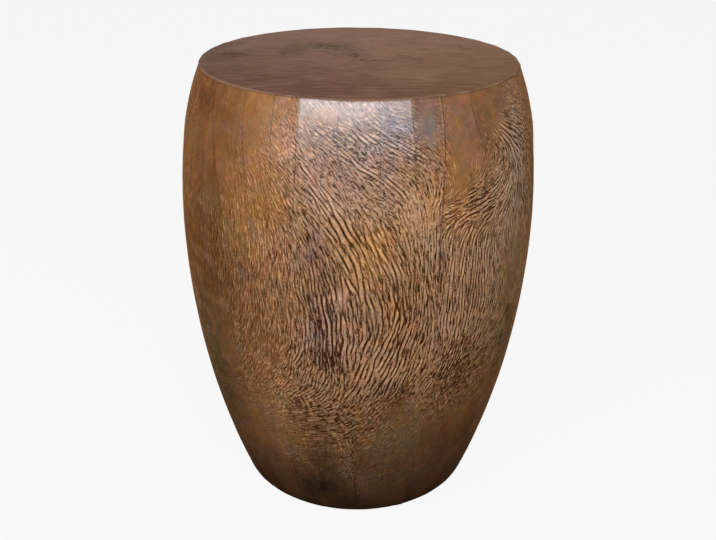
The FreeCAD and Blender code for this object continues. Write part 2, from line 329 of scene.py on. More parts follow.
def grain_lean(x, z, strokes, seed):
    """Lean of the grain in radians. x is the azimuth, unrolled at the belly's radius."""
    sine = np.zeros_like(x)
    cosine = np.zeros_like(x)
    for azimuth, height, lean in strokes:
        near = ((turned(x / ARC - azimuth) * ARC) ** 2 + (z - height) ** 2) / STROKE_REACH ** 2
        weight = np.exp(-0.5 * near) + 1e-3 / (1.0 + near) ** 2
        sine += weight * math.sin(math.radians(lean))
        cosine += weight * math.cos(math.radians(lean))
    wander = 0.20 * noise(x / 46.0, z / 60.0, seed) + 0.24 * noise(x / 12.0, z / 18.0, seed + 1)
    return np.arctan2(sine, cosine) + wander


def strandedness(x, z):
    """How near each point is to one of the long strands: 1 on it."""
    most = np.zeros_like(x)
    for strand in STRANDS:
        for (a, low), (b, high) in zip(strand[:-1], strand[1:]):
            ax = a * ARC
            run = b * ARC - ax
            rise = high - low
            along = ((x - ax) * run + (z - low) * rise) / (run ** 2 + rise ** 2)
            along = np.clip(along, 0.0, 1.0)
            gap = np.hypot(x - ax - along * run, z - low - along * rise)
            most = np.maximum(most, np.exp(-(gap / STRAND_REACH) ** 2))
    return most


def wave_filters(lean, pitch):
    """For each direction and pitch in use: where it counts, and its band of frequencies."""
    fz = np.fft.fftfreq(GRID_ROWS, CELL)[:, None]
    fx = np.fft.fftfreq(GRID_COLUMNS, CELL)[None, :]
    steps = np.clip(lean, -STEEPEST, STEEPEST) / TURN_STEP
    place = np.interp(np.log(pitch), np.log(PITCHES), np.arange(len(PITCHES)))
    filters = []
    for step in range(-9, 10):
        c, s = math.cos(step * TURN_STEP), math.sin(step * TURN_STEP)
        facing = np.clip(1 - np.abs(steps - step), 0, 1)
        for number, length in enumerate(PITCHES):
            share = facing * np.clip(1 - np.abs(place - number), 0, 1)
            if share.max() > 0:
                across = (fx * c + fz * s) * length - 1.0
                along = (fz * c - fx * s) * length
                band = np.exp(-0.5 * (across / 0.40) ** 2 - 0.5 * (along / 0.22) ** 2)
                filters.append((share, band))
    return filters


def grow_figure(lean, pitch, seed):
    """Ridges that follow the grain at their pitch, and fork where they have to. The argument
    of a point's complex number tells where it lies between two ridges."""
    filters = wave_filters(lean, pitch)
    start = np.random.default_rng(seed).random(lean.shape)
    waves = np.exp(2j * math.pi * start)
    for _ in range(PASSES):
        spectrum = np.fft.fft2(waves)
        grown = sum(share * np.fft.ifft2(spectrum * band) for share, band in filters)
        size = np.abs(grown)
        waves = grown / np.maximum(size, 1e-9)
    return waves, size / size.mean()


def figure_grid(lap, strokes, heart, seed):
    """The embossed figure of one side sheet, on a grid that is unrolled at the belly."""
    first = (lap - 123.0) * ARC
    x, z = np.meshgrid(first + CELL * np.arange(GRID_COLUMNS), CELL * np.arange(GRID_ROWS) + GRID_FOOT)
    azimuth = turned(x / ARC)
    aside = turned(azimuth - heart)
    stranded = strandedness(azimuth * ARC, z)
    local = spots(COARSE, azimuth, z)
    wild = spots(WILD, azimuth, z) * (1.0 - 0.8 * stranded)
    lean = grain_lean(x, z, strokes, seed) + 1.1 * wild * noise(x / 5.0, z / 6.0, seed + 2)
    coarse = (blob(aside, 0.0, 13.0) + 0.5 * blob(aside, 34.0, 14.0)) * smooth(110.0, 190.0, z)
    coarse = coarse * (1.0 - 0.75 * smooth(395.0, 440.0, z)) + local
    pitch = 3.0 + 1.8 * coarse + 0.8 * stranded - 0.3 * smooth(430.0, 470.0, z)
    pitch = pitch * (1.0 + 0.15 * noise(x / 20.0, z / 20.0, seed + 3))
    waves, size = grow_figure(lean, pitch, seed)

    heartwood = blob(aside, 0.0, np.where(aside < 0.0, 16.0, 34.0))
    heartwood = heartwood * smooth(120.0, 180.0, z) * smooth(450.0, 390.0, z)
    vigour = 0.38 + 0.34 * heartwood + 0.95 * stranded + 0.30 * local - 0.25 * wild
    vigour += 0.85 * noise(x / 4.5, z / 9.0, seed + 4) + 0.35 * noise(x / 20.0, z / 28.0, seed + 5)
    vigour = np.clip(vigour, 0.05, 1.35) * np.clip(size, 0.0, 1.3)
    reach = 1.0 - 0.65 * np.clip(wild, 0.0, 1.0)
    layers = [waves.real, waves.imag, vigour, reach * np.sin(lean), reach * np.cos(lean)]
    return first, np.stack(layers)


def sample(grid, first, x, z):
    """Values of a grid's layers at scattered points, straight between its rows and columns."""
    u = np.clip((x - first) / CELL, 0, GRID_COLUMNS - 1.001)
    v = np.clip((z - GRID_FOOT) / CELL, 0, GRID_ROWS - 1.001)
    i = u.astype(int)
    j = v.astype(int)
    fu = u - i
    fv = v - j
    low = grid[:, j, i] * (1 - fu) + grid[:, j, i + 1] * fu
    high = grid[:, j + 1, i] * (1 - fu) + grid[:, j + 1, i + 1] * fu
    return low * (1 - fv) + high * fv


def figure_strength(azimuth, z, seed):
    """How deep the figure is embossed: most round the belly's front, least at the foot."""
    front, right, back = (turned(azimuth - heart) for heart in (4.0, 98.0, -152.0))
    front = blob(front, 0.0, np.where(front < 0.0, 27.0, 36.0))
    broad = np.maximum(front, np.maximum(0.8 * blob(right, 0.0, 24.0), 0.85 * blob(back, 0.0, 28.0)))
    edge = noise(azimuth / 9.0, z / 45.0, seed + 5)
    height = 0.30 + 0.40 * smooth(507.0, 455.0, z) + 0.32 * smooth(330.0, 250.0, z)
    foot = 0.22 + 0.78 * smooth(120.0, 240.0, z + 22.0 * edge + 30.0 * blob(azimuth, -12.0, 12.0))
    foot *= smooth(5.0, 60.0, z)
    # a narrow strip of the figure runs down the front to the foot
    strip = 0.9 * blob(azimuth, -3.0 + 0.012 * (z - 60.0) + 0.8 * edge, 3.6)
    strip = strip * smooth(48.0, 80.0, z) * smooth(190.0, 150.0, z)
    smoothed = np.clip(spots(HAMMERED, azimuth, z) * (1.0 + 0.4 * edge), 0.0, 1.0)
    bold = 1.0 + spots(BOLD, azimuth, z)
    embossed = np.minimum((0.37 + 0.63 * broad) * height * bold, 1.25) * foot * (1.0 - smoothed)
    return np.maximum(embossed, strip)


# ------------------------------------------------------------------ the patina
PATINA = {
    "copper": (0.245, 0.117, 0.045),
    "gold": (0.310, 0.150, 0.050),
    "tan": (0.310, 0.168, 0.108),
    "amber": (0.280, 0.130, 0.034),
    "rose": (0.255, 0.115, 0.070),
    "ash": (0.250, 0.160, 0.128),
    "slate": (0.150, 0.115, 0.108),
    "steel": (0.170, 0.150, 0.185),
    "plum": (0.165, 0.085, 0.068),
    "olive": (0.165, 0.108, 0.055),
    "umber": (0.130, 0.053, 0.017),
    "moss": (0.085, 0.060, 0.028),
    "dust_and_glint": (0.285, 0.205, 0.145),
    "soot": (0.046, 0.025, 0.015),
}
# Patches of patina: its name, azimuth, spread, height, spread, share.
# The dust patches at azimuths 22 and 59 also paint glints on the crests there: painted highlight as well as
# pale patina.
PATCHES = (
    ("tan", -10, 7, 446, 28, 0.7), ("amber", 14, 7, 425, 34, 0.6), ("tan", 17, 4, 398, 30, 0.6),
    ("rose", 0, 11, 262, 50, 0.5), ("plum", -12, 4, 272, 44, 0.5), ("umber", 14, 8, 182, 26, 0.8),
    ("umber", -16, 8, 140, 26, 0.6), ("moss", -50, 8, 298, 42, 0.8), ("umber", -26, 8, 268, 40, 0.35),
    ("plum", -13, 3, 360, 16, 0.6), ("amber", 23, 5, 452, 16, 0.8), ("amber", -20, 6, 425, 30, 0.5),
    ("amber", -38, 8, 385, 30, 0.4), ("amber", -6, 8, 140, 24, 0.4), ("dust_and_glint", 46, 6, 300, 60, 0.3),
    ("tan", -22, 6, 478, 34, 0.9), ("umber", -44, 6, 475, 60, 0.5), ("umber", -60, 16, 488, 30, 0.9),
    ("amber", 20, 5, 408, 22, 0.6), ("umber", 36, 5, 304, 22, 0.6), ("moss", -54, 6, 200, 24, 0.8),
    ("moss", -45, 5, 304, 36, 0.6), ("umber", -18, 6, 105, 24, 0.5), ("amber", 34, 8, 395, 22, 0.4),
    ("umber", -54, 23, 310, 105, 0.95), ("umber", -34, 10, 250, 50, 0.4), ("gold", -26, 7, 108, 36, 0.9),
    ("amber", 18, 8, 62, 20, 0.4), ("gold", 24, 6, 396, 30, 0.6), ("dust_and_glint", 22, 4, 362, 24, 0.35),
    ("tan", 23, 5, 272, 26, 0.4), ("tan", -4, 5, 316, 14, 0.5), ("slate", 21, 4.2, 482, 36, 0.9),
    ("plum", 30, 5, 488, 26, 0.6), ("steel", 11, 5, 484, 20, 0.8), ("amber", 34, 7, 445, 28, 0.6),
    ("dust_and_glint", 49, 7, 400, 80, 0.4), ("olive", 56, 10, 330, 60, 0.8), ("dust_and_glint", 59, 7, 425, 66, 1.0),
    ("moss", 58, 10, 220, 66, 0.9), ("moss", -57, 14, 185, 92, 1.0), ("soot", -11, 6, 88, 28, 0.6),
    ("gold", -2.5, 3.5, 108, 42, 1.0), ("tan", 33, 8, 320, 50, 0.35), ("tan", 31, 5, 230, 14, 0.5),
    ("umber", 44, 9, 480, 40, 0.4), ("amber", -27, 9, 392, 26, 0.5), ("amber", 5, 7, 366, 36, 0.8),
    ("plum", -11, 2.5, 378, 14, 0.7), ("olive", -17, 3, 398, 10, 0.5), ("olive", -4, 2, 350, 22, 0.3),
    ("amber", -29, 6, 370, 22, 0.4), ("plum", 37, 6, 466, 24, 0.6), ("plum", 19, 6, 500, 9, 0.8),
    ("plum", -13, 5, 354, 18, 0.5), ("steel", -9, 6, 272, 40, 0.25), ("olive", 5, 2.4, 296, 18, 0.7),
    ("rose", -22, 5, 372, 24, 0.5), ("amber", 11, 2.4, 300, 14, 0.6), ("umber", 35, 13, 195, 40, 0.4),
    ("umber", -45, 5, 184, 24, 0.6), ("umber", 28, 16, 110, 60, 0.7), ("tan", -30, 6, 140, 28, 0.35),
    ("plum", 9, 3, 205, 12, 0.6), ("olive", 14, 14, 128, 42, 0.7), ("umber", 0, 5, 110, 50, 0.7),
    ("soot", -15, 11, 48, 22, 0.8), ("soot", 48, 10, 110, 60, 0.4), ("tan", -27, 3, 100, 12, 0.5),
    ("tan", 4, 3, 70, 8, 0.3), ("tan", -5, 9, 425, 28, 0.7), ("olive", -50, 6, 388, 10, 0.4),
    ("rose", -9, 5, 445, 18, 0.3), ("plum", 3, 5, 418, 12, 0.15), ("amber", 75, 14, 420, 50, 0.5),
    ("umber", 100, 14, 330, 60, 0.4), ("plum", 135, 10, 470, 30, 0.5), ("olive", 150, 16, 250, 50, 0.4),
    ("amber", -165, 18, 420, 50, 0.5), ("umber", -120, 14, 300, 80, 0.5),
    ("rose", -140, 12, 380, 40, 0.4), ("slate", -100, 8, 480, 30, 0.4), ("umber", -175, 14, 160, 60, 0.5),
    ("olive", 95, 10, 180, 40, 0.4),
)


def patina(azimuth, z, seed):
    """Colour of the weathered metal between the recesses and the crests. It darkens to the foot, partly
    with age and partly as painted shade.
    """
    plain = np.ones(azimuth.shape + (3,)) * PATINA["copper"]
    ragged = 1.0 + 0.5 * noise(azimuth / 2.4, z / 9.0, seed + 8)
    colour = over(plain, 0.9 * smooth(372.0, 440.0, z) * bright_facets(azimuth, z), PATINA["ash"])
    for name, *spot in PATCHES:
        colour = over(colour, spots([spot], azimuth, z) * ragged, PATINA[name])
    for number, name in enumerate(("amber", "plum", "olive", "rose")):
        patch = noise(azimuth / 7.0 + 40.0 * number, z / 24.0, seed + 9)
        colour = over(colour, 0.35 * smooth(0.25, 0.75, patch), PATINA[name])
    cloud = 1.0 + 0.07 * noise(azimuth / 8.0, z / 40.0, seed + 10)
    cloud += 0.05 * noise(azimuth / 1.6, z / 6.0, seed + 11)
    # darker towards the foot: partly age, partly painted shade
    foot = 0.10 + 0.0042 * (z + 16.0 * noise(azimuth / 9.0, z / 50.0, seed + 7))
    grey = colour.mean(-1, keepdims=True) * np.array((1.12, 1.0, 0.80))
    colour = over(colour, 0.22 * smooth(170.0, 30.0, z), grey)
    return colour * (cloud * np.clip(foot, 0.0, 1.0))[..., None]


def bright_facets(azimuth, z):
    """The facets of the rim at the front, from dart to dart, and less clearly below them."""
    start, end = BRIGHT_FACETS
    wide = 0.8 + 7.0 * smooth(478.0, 420.0, z)
    return smooth(start - wide, start + wide, azimuth) * smooth(end + wide, end - wide, azimuth)


def polish(azimuth, z):
    """How clear the lacquer still is: clearest on the facets at the front of the rim."""
    clear = 0.02 + 0.63 * bright_facets(azimuth, z) * (1.0 - 0.35 * smooth(3.0, 9.0, azimuth))
    return clear * (0.38 * smooth(380.0, 450.0, z) + 0.62 * smooth(440.0, 482.0, z))


# ------------------------------------------------------------------ meshes
def make_piece(name, points, faces, replaces=(), smooth_faces=True):
    mesh = bpy.data.meshes.new(name)
    mesh.from_pydata((np.asarray(points) * MM).tolist(), [], faces)
    mesh.validate()
    mesh.polygons.foreach_set("use_smooth", [smooth_faces] * len(mesh.polygons))
    piece = bpy.data.objects.new(name, mesh)
    bpy.context.scene.collection.objects.link(piece)
    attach(piece, "root")
    if replaces:
        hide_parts(*replaces)
    return piece


def give_attribute(piece, name, values):
    values = np.asarray(values, np.float32)
    if values.ndim == 2:
        layer = piece.data.attributes.new(name, "FLOAT_VECTOR", "POINT")
        layer.data.foreach_set("vector", values.ravel())
    else:
        layer = piece.data.attributes.new(name, "FLOAT", "POINT")
        layer.data.foreach_set("value", values.ravel())


def bands(index):
    """Quads between the neighbours in a grid of point numbers."""
    quads = np.stack([index[:-1, :-1], index[1:, :-1], index[1:, 1:], index[:-1, 1:]], -1)
    return quads.reshape(-1, 4)


def spaced(stretches):
    """Places along a line. A stretch: its start, its end and the step in it."""
    places = []
    for start, end, step in stretches:
        count = max(2, round(abs(end - start) / step) + 1)
        places.append(np.linspace(start, end, count)[:-1])
    return np.concatenate(places + [[stretches[-1][1]]])


def refine(places, around, offsets):
    """Places spread along a line, with more of them close to some others."""
    extra = np.concatenate([around + offset for offset in offsets])
    kept = [p for p in places if np.abs(extra - p).min() > 0.10]
    inside = extra[(extra > places[0]) & (extra < places[-1])]
    return np.unique(np.round(np.concatenate([kept, inside, places[[0, -1]]]), 4))


def fold_back(z):
    """Back angle of the long fold in each side sheet, beyond which it is darker."""
    return FOLD_AT_RIM - FOLD_LEAN * smooth(470.0, 370.0, z)


def seams_depth(back, z):
    """Grooves along the darts and the long fold, and the step beside each dart, where one
    side lies on the other."""
    depth = np.zeros_like(back)
    step = np.zeros_like(back)

    def dart(off, live, deep, width, high, reach):
        depth[:] += live * deep * np.exp(-(off / width) ** 2)
        step[:] += live * high * np.exp(-np.clip(off, 0, None) / reach) * (off > 0)

    for number, corner in enumerate(CORNERS[1:-1]):
        length = 112.0 + 22.0 * math.sin(2.3 * number + 0.4)
        live = smooth(CORE_TOP - length, CORE_TOP - 0.55 * length, z)
        drift = np.clip(DART_DRIFT * (corner - DART_DRIFT_FROM), 0.0, DART_DRIFT_MOST)
        off = (back - corner + drift * smooth(495.0, 430.0, z)) * RIM_DEGREE
        dart(off + 0.35 * np.sin(z / 9.0 + number), live, 0.42, 0.34, 0.16, 2.2)
    for number, corner in enumerate(BASE_DARTS):
        length = 98.0 + 14.0 * math.sin(1.7 * number + 1.0)
        live = smooth(CORE_BASE + length, CORE_BASE + 0.5 * length, z)
        off = (back - corner) * FOOT_DEGREE
        dart(off + 0.5 * np.sin(z / 13.0 + 2 * number), live, 0.5, 0.42, 0.2, 3.0)
    off = (back - fold_back(z)) * RIM_DEGREE + 0.5 * noise(z / 14.0, 0.0 * z, 91)
    live = smooth(*FOLD_ENDS, z) * smooth(*FOLD_STARTS, z)
    dart(off, live, 0.45, 0.55, 0.0, 1.0)
    return depth, step


# Dents: azimuth, its spread, height, its spread, depth
DENTS = (
    (35.0, 1.6, 486.0, 5.0, 0.7), (37.0, 0.8, 496.0, 5.0, 0.5), (45.0, 1.2, 478.0, 6.0, 0.3),
    (-52.0, 3.0, 470.0, 14.0, 0.35), (-66.0, 4.0, 432.0, 20.0, 0.4), (-9.0, 4.0, 40.0, 14.0, 0.5),
    (22.0, 5.0, 62.0, 18.0, 0.6), (-30.0, 4.0, 78.0, 16.0, 0.5), (150.0, 2.5, 460.0, 9.0, 0.6),
    (-128.0, 2.0, 452.0, 8.0, 0.6), (84.0, 4.0, 60.0, 15.0, 0.6),
)


def hammered(azimuth, z, seed):
    """Shallow inward unevenness of the whole sheet, in millimetres."""
    x = azimuth * ARC
    depth = 0.12 + 0.12 * noise(x / 33.0, z / 48.0, seed + 11)
    ends = np.maximum(smooth(415.0, 480.0, z), smooth(150.0, 60.0, z))
    depth = depth + ends * (0.12 + 0.12 * noise(x / 11.0, z / 15.0, seed + 12))
    return np.maximum(depth + spots(DENTS, turned(azimuth), z), 0.0)


def sheet_rows():
    """Heights down the outside of a side sheet, closest where the figure is strong."""
    return spaced([
        (CORE_TOP - 0.05, 500.0, 0.9), (500.0, 440.0, 1.5), (440.0, 190.0, 1.85), (190.0, CORE_BASE, 3.4),
    ])


def sheet_backs(number):
    """Back angles across a side sheet. The front one is closest round its figure's heart."""
    if number == 0:
        stretches = [(LAP_EDGE, 56.0, 0.27), (56.0, 80.0, 0.36), (80.0, SHEET_END, 0.62)]
    elif number == 2:
        stretches = [(LAP_EDGE, 85.0, 0.40), (85.0, SHEET_END, 0.29)]
    else:
        stretches = [(LAP_EDGE, SHEET_END, 0.36)]
    darts = np.concatenate([CORNERS[1:-1], BASE_DARTS])
    return refine(spaced(stretches), darts, (-0.2, 0.0, 0.2))


# The folded foot of a side sheet: distance in from its outside, and height.
FOOT_FOLD = (
    (0.1, 3.28), (0.32, 3.08), (0.62, 3.0), (5.0, 3.0), (9.5, 3.0), (FLANGE_WIDTH - 0.2, 3.0),
    (FLANGE_WIDTH, 3.2), (FLANGE_WIDTH, 3.55), (SHEET + 0.1, 3.55),
)
FOLD_RADIUS = 5.0           # within which the foot still follows the raised lap
INNER_STEP = 24             # the plain inside has a row for so many of the outside's


def sheet_points(azimuth, z, outer, raised):
    """Points of a side sheet, down its outside, round the fold, along the flange and up the
    inside, and the outside's rows that the inside's lie opposite."""
    loops = [around(*row) for row in zip(azimuth, outer, z)]
    for inset, height in FOOT_FOLD:
        level = np.full_like(azimuth[-1], height)
        radius = barrel_radius(azimuth[-1], level) - inset + raised[-1] * (inset < FOLD_RADIUS)
        loops.append(around(azimuth[-1], radius, level))
    inner_rows = list(range(len(z) - 1, 0, -INNER_STEP)) + [0]
    for row in inner_rows[1:]:
        radius = barrel_radius(azimuth[row], z[row]) + raised[row] - SHEET
        loops.append(around(azimuth[row], radius, z[row]))
    return np.concatenate(loops), inner_rows


def sheet_faces(rows, columns, inner_rows):
    """Quads all round the section, and the two cut edges, where each stretch of the inside
    is closed to what lies opposite on the outside."""
    count = rows + len(FOOT_FOLD) + len(inner_rows) - 1
    index = np.arange(count * columns).reshape(count, columns)
    first_inner = rows + len(FOOT_FOLD) - 1
    stretches = [list(range(rows - 1, first_inner + 1))]
    for place, (low, high) in enumerate(zip(inner_rows[:-1], inner_rows[1:])):
        inside = [first_inner + place, first_inner + place + 1]
        stretches.append(list(range(high, low + 1)) + inside)
    faces = bands(np.vstack([index, index[:1]])).tolist()
    faces += [index[stretch, 0].tolist() for stretch in stretches]
    faces += [index[stretch, -1][::-1].tolist() for stretch in stretches]
    return faces


def dress(piece, name, field, rest):
    """Gives a sheet an attribute: a field of values on its outside, and one value elsewhere."""
    rows, columns, *width = field.shape
    values = np.empty((len(piece.data.vertices), *width))
    values[:] = rest
    values[:rows * columns] = field.reshape(rows * columns, *width)
    give_attribute(piece, name, values)


def sheet_tone(back, bearing, z, seed):
    """Patina of a side sheet, with a painted highlight along its lapped edge and the darker face past the
    fold.
    """
    # painted highlight: a pale line along the lap's free edge, fading out lower down
    edge = 0.7 * smooth(230.0, 380.0, z) * blob(back, LAP_EDGE + 0.2, 0.35)
    beyond = back - fold_back(z)
    dark = smooth(0.0, 0.7, beyond) * smooth(20.0, 6.0, beyond)
    dark = dark * smooth(300.0, 380.0, z) * smooth(*FOLD_STARTS, z)
    return over(patina(bearing, z, seed), edge, PATINA["tan"]) * (1.0 - 0.20 * dark)[..., None]


def sheet_dirt_and_shadow(back, bearing, z, groove):
    """Where the sheet is dark: with dirt in its grooves, and with painted shadow under the lip and beside
    the lap's edge.
    """
    # painted shadow under the top's lip, stronger on the left where the lip stands off
    lip_shadow = smooth(504.8, 506.4, z) * (0.45 + 0.5 * left_rim(bearing))
    # painted shadow on the next sheet, beside the lap's free edge
    lap_edge_shadow = (0.3 + 0.7 * smooth(230.0, 380.0, z)) * smooth(118.6, 119.3, back)
    return np.clip(2.2 * groove + lip_shadow + 0.7 * lap_edge_shadow, 0.0, 1.0)


def side_sheet(number, name, strokes, heart):
    lap = FRONT_LAP - SHEET_ANGLE * number
    seed = 40 * number + 3
    back, z = np.meshgrid(sheet_backs(number), sheet_rows())
    near_lap = smooth(9.0, 0.0, back) + smooth(111.0, 120.0, back)
    azimuth = lap - back - lap_lean(z) * near_lap
    bearing = turned(azimuth)

    first, grid = figure_grid(lap, strokes, heart, seed)
    real, imaginary, vigour, sideways, upwards = sample(grid, first, azimuth * ARC, z)
    strength = figure_strength(bearing, z, seed)
    ridges = np.clip(real * vigour, -1.0, 1.0)
    groove, step = seams_depth(back, z)
    raised = LAP_RAISE * smooth(7.5, 1.2, back)
    depth = hammered(azimuth, z, seed) + RIDGE_DEPTH * strength * (0.5 - 0.5 * ridges)
    flat_end = smooth(0.0, 3.0, CORE_TOP - z) * smooth(CORE_BASE, CORE_BASE + 6.0, z)
    clear = barrel_radius(azimuth, z) + raised
    outer = clear - flat_end * (0.75 * depth + groove - 0.8 * step)
    outer = np.minimum(outer, clear + np.where(z > 430.0, 0.22, 0.02))
    points, inner_rows = sheet_points(azimuth, z, outer, raised)
    faces = sheet_faces(*back.shape, inner_rows)
    piece = make_piece("clad_side_" + name, points, faces, ["side_sheet_" + name])

    hollow = spots(SUNKEN, bearing, z) - spots(RAISED, bearing, z) - 0.06
    hollow += 0.18 * noise(azimuth / 2.8, z / 16.0, seed + 6)
    # one millimetre along the grain, which leans to the left as it rises
    facing = np.radians(azimuth)
    leant = np.stack([-sideways * np.cos(facing), -sideways * np.sin(facing), upwards], -1) * MM
    dress(piece, "ridge", np.stack([real, imaginary, vigour], -1), 0.0)
    dress(piece, "grain", leant, (0.0, 0.0, MM))
    dress(piece, "patina", sheet_tone(back, bearing, z, seed), PATINA["umber"])
    dress(piece, "figure", strength, 0.0)
    dress(piece, "hollow", hollow, 0.0)
    dress(piece, "gloss", polish(bearing, z), 0.0)
    dress(piece, "seam_dirt_and_shadow", sheet_dirt_and_shadow(back, bearing, z, groove), 0.0)
    return piece


# ------------------------------------------------------------------ top sheet
TOP_COLUMNS = 720
TOP_FACE = TABLE_HEIGHT - 0.02
# Pitted places of the top: x, y, spread along x, spread along y, share
PITTED = (
    (-138.0, 12.0, 22.0, 14.0, 1.0), (-76.0, 20.0, 14.0, 22.0, 0.7), (-2.0, 11.0, 16.0, 12.0, 1.0),
    (5.0, -12.0, 16.0, 8.0, 1.0), (52.0, 0.0, 26.0, 14.0, 0.8), (-44.0, 58.0, 36.0, 18.0, 0.8),
    (-16.0, 40.0, 30.0, 14.0, 0.6), (-150.0, 60.0, 14.0, 14.0, 0.6), (120.0, 60.0, 26.0, 10.0, 0.4),
)
# Patches of its patina: colour, x, y, spread along x, spread along y, share
TOP_PATCHES = (
    ((0.138, 0.072, 0.050), -140.0, 8.0, 26.0, 18.0, 0.8),
    ((0.145, 0.080, 0.058), -76.0, 26.0, 18.0, 22.0, 0.8),
    ((0.135, 0.094, 0.064), -46.0, 58.0, 36.0, 22.0, 0.9),
    ((0.150, 0.095, 0.068), -4.0, 26.0, 26.0, 20.0, 0.6),
    ((0.225, 0.140, 0.082), 52.0, 30.0, 44.0, 40.0, 0.6),
    ((0.218, 0.122, 0.077), 60.0, -74.0, 46.0, 34.0, 0.9),
)


def top_radius(azimuth, z):
    """Outside of the top sheet's lip."""
    return barrel_radius(azimuth, z) + SHEET + 0.02


def top_sway(x, y):
    """The top's streaks run along x, and bend a little."""
    return y + 5.0 * noise(x / 60.0, y / 40.0, 73)


def top_relief(x, y):
    fine = noise(top_sway(x, y) / 2.4, x / 26.0, 75)
    return np.maximum(0.10 + 0.10 * noise(x / 45.0, y / 30.0, 74) + 0.06 * fine, 0.0)


def top_patina(x, y):
    """Brown, warmer on the right and greyer on the left, and paler at the back."""
    back = smooth(-170.0, 170.0, y)
    right = smooth(-150.0, 150.0, x + 30.0 * noise(x / 70.0, y / 50.0, 76))
    near = over((0.122, 0.063, 0.046), right, (0.156, 0.080, 0.045))
    far = over((0.235, 0.142, 0.110), right, (0.255, 0.150, 0.098))
    cloud = 1.0 + 0.12 * noise(x / 38.0, y / 26.0, 77) + 0.10 * noise(x / 14.0, y / 9.0, 78)
    cloud += 0.12 * blob(x, 0.0, 90.0) * blob(y, 20.0, 80.0) - 0.10 * blob(x, -150.0, 40.0)
    colour = over(near, back, far)
    ragged = 1.0 + 0.4 * noise(x / 18.0, y / 10.0, 79)
    for patch, across, deep, width, length, share in TOP_PATCHES:
        colour = over(colour, share * blob(x, across, width) * blob(y, deep, length) * ragged, patch)
    return colour * 1.06 * cloud[..., None]


def top_azimuths():
    """Azimuths round the top, one of them at each corner of the flats."""
    azimuth = np.linspace(0.0, 360.0, TOP_COLUMNS, endpoint=False)
    for lap in (FRONT_LAP, FRONT_LAP - SHEET_ANGLE, FRONT_LAP - 2 * SHEET_ANGLE):
        for corner in (lap - CORNERS[:-1]) % 360:
            azimuth[np.argmin(np.abs(azimuth - corner))] = corner
    return azimuth


def top_loops(azimuth):
    """Loops of the top sheet: down the lip's inside, round its foot, up its outside, round
    the folded edge and in over the top."""
    dip = 0.25 + 0.25 * noise(azimuth / 4.0, azimuth * 0.0, 71)
    dip += 0.5 * blob(azimuth, 33.0, 2.5) + 0.6 * blob(azimuth, 43.0, 3.0)
    edge = top_radius(azimuth, np.full_like(azimuth, TABLE_HEIGHT - 0.8))
    rounded = 1.15 + 0.35 * noise(azimuth / 6.0, azimuth * 0.0 + 0.5, 72)
    bottom = LIP_BOTTOM - 0.8 * left_rim(turned(azimuth))
    loops = [
        (edge - SHEET - 0.4, CORE_TOP + 0.02),
        (edge - SHEET, bottom + 0.3),
        (edge - SHEET, bottom),
        (edge, bottom),
        (edge, bottom + 0.15),
    ]
    for angle in (0, 22.5, 45, 67.5, 90):
        c, s = math.cos(math.radians(angle)), math.sin(math.radians(angle))
        height = TOP_FACE - rounded * (1 - s) - 0.25 * dip
        loops.append((edge - rounded * (1 - c) - 0.2 * dip, height))
    loops = [around(azimuth, radius, height) for radius, height in loops]
    for share in 1.0 - np.linspace(0.0, 1.0, 84)[1:-1]:
        radius = (edge - rounded) * share
        loop = around(azimuth, radius, TOP_FACE)
        inward = smooth(0.0, 14.0, edge - radius)
        loop[:, 2] += -0.25 * dip * (1 - inward) - top_relief(loop[:, 0], loop[:, 1]) * inward
        loops.append(loop)
    return loops


def top_piece():
    loops = top_loops(top_azimuths())
    points = np.concatenate(loops + [[(0.0, 0.0, TOP_FACE - 0.03)]])
    index = np.arange(len(points) - 1).reshape(len(loops), TOP_COLUMNS)
    ring = np.column_stack([index, index[:, 0]])
    faces = bands(ring)[:, ::-1].tolist()
    faces += [[int(a), int(b), len(points) - 1] for a, b in zip(ring[-1], ring[-1, 1:])]
    faces.append(index[0, ::-1].tolist())
    piece = make_piece("clad_top", points, faces, ["top_sheet"])

    x, y = points[:, 0], points[:, 1]
    pitted = np.zeros_like(x)
    for across, deep, width, length, share in PITTED:
        pitted = np.maximum(pitted, share * blob(x, across, width) * blob(y, deep, length))
    side = turned(np.degrees(np.arctan2(x, -y)))
    # where a highlight is painted along the top's edge: most on the left and near azimuth 50
    wear_and_highlight = np.maximum(smooth(-22.0, -40.0, side) * smooth(-100.0, -75.0, side), 0.9 * blob(side, 50.0, 7.0))
    give_attribute(piece, "flow", np.stack([top_sway(x, y), x, np.zeros_like(x)], -1))
    give_attribute(piece, "patina", top_patina(x, y))
    give_attribute(piece, "pitted", pitted)
    give_attribute(piece, "rim", smooth(*RIM_EDGE, np.hypot(x, y)) * (0.10 + 0.60 * wear_and_highlight))
    return piece


# ------------------------------------------------------------------ wooden core
def stave_backs(z):
    """Distance of the staves' backs from the axis: sawn in straight cuts."""
    ends = np.linspace(CORE_BASE, CORE_TOP, BACK_CUTS + 1)
    return np.interp(z, ends, apothem(ends) - SHEET - STAVE_WALL)


def stave(number):
    sheet, place = divmod(number, len(FLATS))
    lap = FRONT_LAP - SHEET_ANGLE * sheet
    azimuths = np.linspace(lap - CORNERS[place + 1] + 0.01, lap - CORNERS[place] - 0.01, 7)
    loops = []
    for height in np.linspace(CORE_BASE, CORE_TOP, 41):
        outside = barrel_radius(azimuths, np.full_like(azimuths, height)) - SHEET - 0.12
        back = azimuths[[-1, 0]]
        inside = stave_backs(height) / np.cos(np.radians(back - lap + FLATS[place]))
        loops += [around(azimuths, outside, height), around(back, inside, height)]
    points = np.concatenate(loops)
    index = np.arange(len(points)).reshape(-1, len(azimuths) + 2)
    faces = [index[0, ::-1].tolist(), index[-1].tolist()]
    faces += bands(np.column_stack([index, index[:, 0]]))[:, [0, 3, 2, 1]].tolist()
    name = f"{number + 1:02d}"
    return make_piece("wood_stave_" + name, points, faces, ["core_stave_" + name], False)


